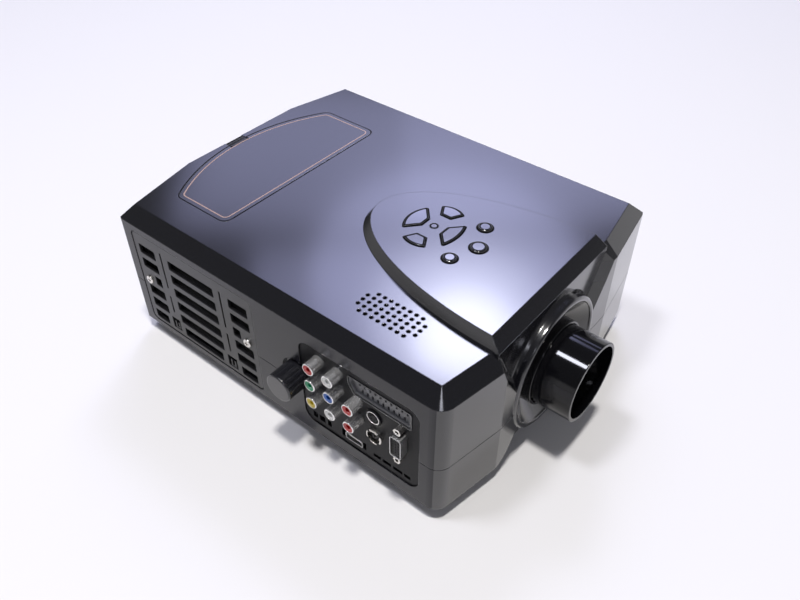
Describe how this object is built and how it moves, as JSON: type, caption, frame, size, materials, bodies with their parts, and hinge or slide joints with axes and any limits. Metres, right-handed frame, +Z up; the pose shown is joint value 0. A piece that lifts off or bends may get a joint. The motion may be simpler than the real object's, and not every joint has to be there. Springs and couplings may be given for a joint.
{
  "type": "home theater projector",
  "caption": "Glossy black box projector with a round lens in a bell-shaped front, raised key panel, lamp door, side grille and sockets.",
  "frame": {"origin": "on the floor, under the middle of the whole projector: halfway between the knob's end and the right side, and halfway between the focus barrel's front and the mains switch", "axes": "+X to the exhaust side, +Y to the rear, away from the lens, +Z up"},
  "size_m": [0.242, 0.3188, 0.1177],
  "materials": {
    "gloss_black": "polished",
    "dark_plastic": "satin",
    "key_plastic": "polished",
    "window_plastic": "polished",
    "nickel": "polished",
    "steel": "satin",
    "red_plastic": "glossy",
    "green_plastic": "glossy",
    "blue_plastic": "glossy",
    "yellow_plastic": "glossy",
    "white_plastic": "glossy",
    "barrel_black": "glossy",
    "lens_glass": "clear",
    "board_green": "satin",
    "foam": "rough",
    "rubber": "matte",
    "lamp_metal": "satin",
    "reflector": "polished"
  },
  "bodies": {
    "base": {"upper_housing": "gloss_black", "lower_housing": "gloss_black", "control_hood": "gloss_black", "side_grille": "dark_plastic", "grille_screws": "steel", "dust_filter": "foam", "connector_plate": "dark_plastic", "status_window": "window_plastic", "button_board": "board_green", "speaker": "dark_plastic", "rca_shells": "nickel", "rca_inserts_red": "red_plastic", "rca_inserts_green": "green_plastic", "rca_inserts_blue": "blue_plastic", "rca_inserts_yellow": "yellow_plastic", "rca_inserts_white": "white_plastic", "scart_socket": "dark_plastic", "svideo_socket": "dark_plastic", "tv_socket": "nickel", "vga_socket": "steel", "vga_standoffs": "nickel", "hdmi_socket": "steel", "io_board": "board_green", "potentiometer": "dark_plastic", "lens_sleeve": "barrel_black", "optics_frame": "dark_plastic", "condenser_lens": "lens_glass", "heat_glass": "lens_glass", "lcd_panel": "dark_plastic", "field_lens": "lens_glass", "lamp_case": "lamp_metal", "lamp_reflector": "reflector", "lamp_bulb": "lens_glass", "fan_frame": "dark_plastic", "main_board": "board_green", "power_board": "board_green", "ac_inlet": "dark_plastic", "rear_feet": "rubber", "housing_screws": "steel"},
    "focus_barrel": {"focus_barrel": "barrel_black", "front_lens": "lens_glass"},
    "lens_cell": {"lens_cell": "barrel_black", "rear_lens": "lens_glass"},
    "adjuster": {"adjuster_knob": "key_plastic", "knob_shaft": "steel"},
    "fan_rotor": {"fan_rotor": "dark_plastic"},
    "lamp_door": {"lamp_door": "gloss_black"},
    "door_latch": {"door_latch": "dark_plastic"},
    "power_rocker": {"power_rocker": "key_plastic"},
    "foot_wheel_left": {"foot_wheel_left": "dark_plastic"},
    "foot_wheel_right": {"foot_wheel_right": "dark_plastic"},
    "foot_stem_left": {"foot_stem_left": "dark_plastic"},
    "foot_stem_right": {"foot_stem_right": "dark_plastic"},
    "button_up": {"button_up": "key_plastic"},
    "button_down": {"button_down": "key_plastic"},
    "button_left": {"button_left": "key_plastic"},
    "button_right": {"button_right": "key_plastic"},
    "button_round_left": {"button_round_left": "key_plastic"},
    "button_round_middle": {"button_round_middle": "key_plastic"},
    "button_round_right": {"button_round_right": "key_plastic"}
  },
  "joints": [
    {"name": "focus_turn", "type": "hinge", "parent": "base", "child": "focus_barrel", "pos_m": [0.001, -0.13379, 0.0575], "axis": [0, -1, 0], "range_deg": [-60, 60]},
    {"name": "lens_cell_slide", "type": "slide", "parent": "base", "child": "lens_cell", "axis": [0, -1, 0], "range_m": [-0.003, 0.003]},
    {"name": "adjuster_turn", "type": "hinge", "parent": "base", "child": "adjuster", "pos_m": [-0.1125, -0.01629, 0.0568], "axis": [-1, 0, 0], "range_deg": [-150, 150]},
    {"name": "fan_spin", "type": "hinge", "parent": "base", "child": "fan_rotor", "pos_m": [0.1085, 0.07021, 0.0565], "axis": [1, 0, 0], "continuous": true},
    {"name": "lamp_door_tilt", "type": "hinge", "parent": "base", "child": "lamp_door", "pos_m": [0.0012, 0.07411, 0.109], "axis": [1, 0, 0], "range_deg": [0, 60]},
    {"name": "door_latch_slide", "type": "slide", "parent": "base", "child": "door_latch", "axis": [0, 1, 0], "range_m": [0, 0.0018]},
    {"name": "power_rocker_tilt", "type": "hinge", "parent": "base", "child": "power_rocker", "pos_m": [0.01, 0.15221, 0.031], "axis": [1, 0, 0], "range_deg": [0, 14]},
    {"name": "foot_wheel_left_turn", "type": "hinge", "parent": "base", "child": "foot_wheel_left", "pos_m": [-0.08, -0.10179, 0.0067], "axis": [0, 0, 1], "range_deg": [0, 720]},
    {"name": "foot_stem_left_slide", "type": "slide", "parent": "base", "child": "foot_stem_left", "axis": [0, 0, -1], "range_m": [0, 0.008]},
    {"name": "foot_wheel_right_turn", "type": "hinge", "parent": "base", "child": "foot_wheel_right", "pos_m": [0.096, -0.10179, 0.0067], "axis": [0, 0, 1], "range_deg": [0, 720]},
    {"name": "foot_stem_right_slide", "type": "slide", "parent": "base", "child": "foot_stem_right", "axis": [0, 0, -1], "range_m": [0, 0.008]},
    {"name": "button_up_press", "type": "slide", "parent": "base", "child": "button_up", "axis": [0, 0, -1], "range_m": [0, 0.0008], "stiffness_N_per_m": 300},
    {"name": "button_down_press", "type": "slide", "parent": "base", "child": "button_down", "axis": [0, 0, -1], "range_m": [0, 0.0008], "stiffness_N_per_m": 300},
    {"name": "button_left_press", "type": "slide", "parent": "base", "child": "button_left", "axis": [0, 0, -1], "range_m": [0, 0.0008], "stiffness_N_per_m": 300},
    {"name": "button_right_press", "type": "slide", "parent": "base", "child": "button_right", "axis": [0, 0, -1], "range_m": [0, 0.0008], "stiffness_N_per_m": 300},
    {"name": "button_round_left_press", "type": "slide", "parent": "base", "child": "button_round_left", "axis": [0, 0, -1], "range_m": [0, 0.0008], "stiffness_N_per_m": 300},
    {"name": "button_round_middle_press", "type": "slide", "parent": "base", "child": "button_round_middle", "axis": [0, 0, -1], "range_m": [0, 0.0008], "stiffness_N_per_m": 300},
    {"name": "button_round_right_press", "type": "slide", "parent": "base", "child": "button_round_right", "axis": [0, 0, -1], "range_m": [0, 0.0008], "stiffness_N_per_m": 300}
  ],
  "couplings": [
    {"joint": "lens_cell_slide", "follows": "focus_turn", "m_per_rad": 0.0028645},
    {"joint": "foot_wheel_left_turn", "follows": "foot_stem_left_slide", "rad_per_m": 1570.6},
    {"joint": "foot_wheel_right_turn", "follows": "foot_stem_right_slide", "rad_per_m": 1570.6}
  ]
}
